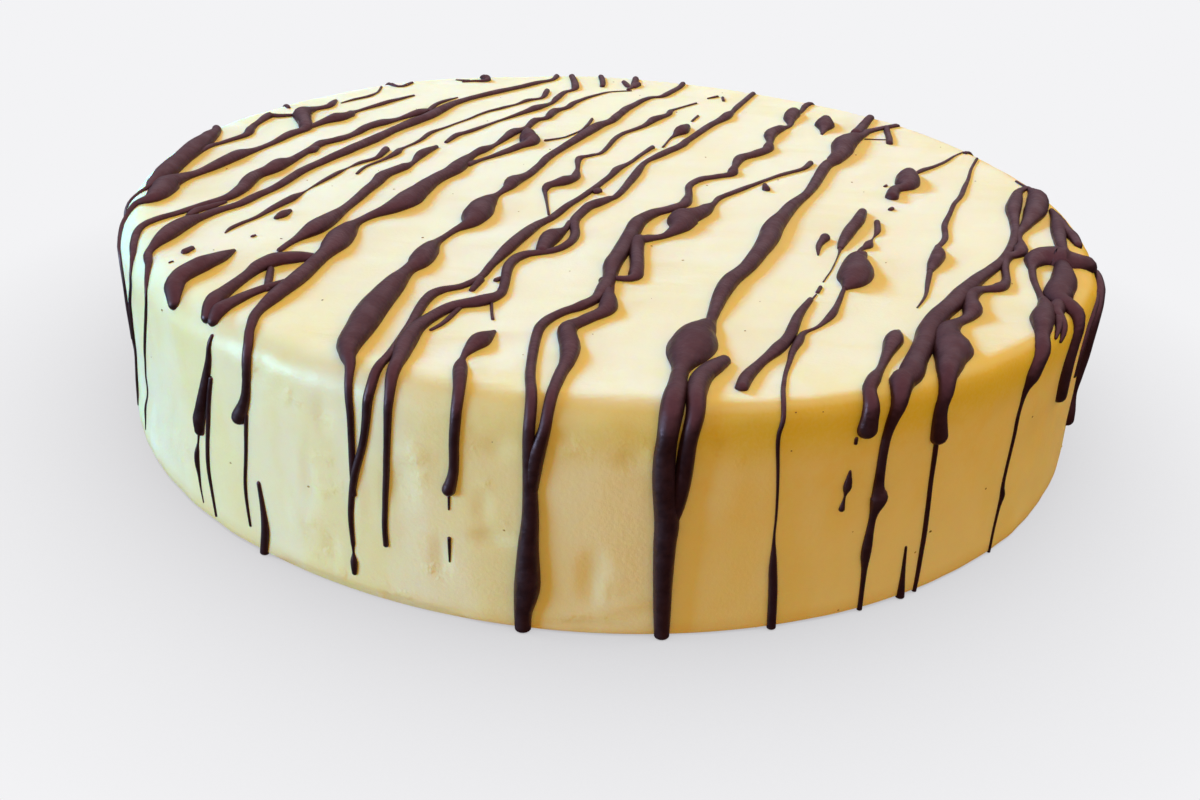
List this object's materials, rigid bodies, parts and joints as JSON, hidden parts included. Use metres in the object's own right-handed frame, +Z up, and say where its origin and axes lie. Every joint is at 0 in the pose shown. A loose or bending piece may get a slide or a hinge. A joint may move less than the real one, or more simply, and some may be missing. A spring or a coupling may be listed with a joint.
{
  "type": "ice cream cake",
  "caption": "Round uncut ice cream cake with a flat top, softly rounded rim and straight side, drizzled with chocolate that runs over the rim and down the side.",
  "frame": {"origin": "centre of the flat base, where the cake stands", "axes": "+Z up along the cake's axis; -Y is the side that faces the camera in the picture; +X is the camera's right"},
  "size_m": [0.2299, 0.2328, 0.049],
  "materials": {
    "ice_cream": "smooth pale vanilla ice cream, half matt",
    "chocolate": "set dark chocolate, half matt"
  },
  "bodies": {
    "root": {"ice_cream_cake": "ice_cream"}
  },
  "joints": []
}
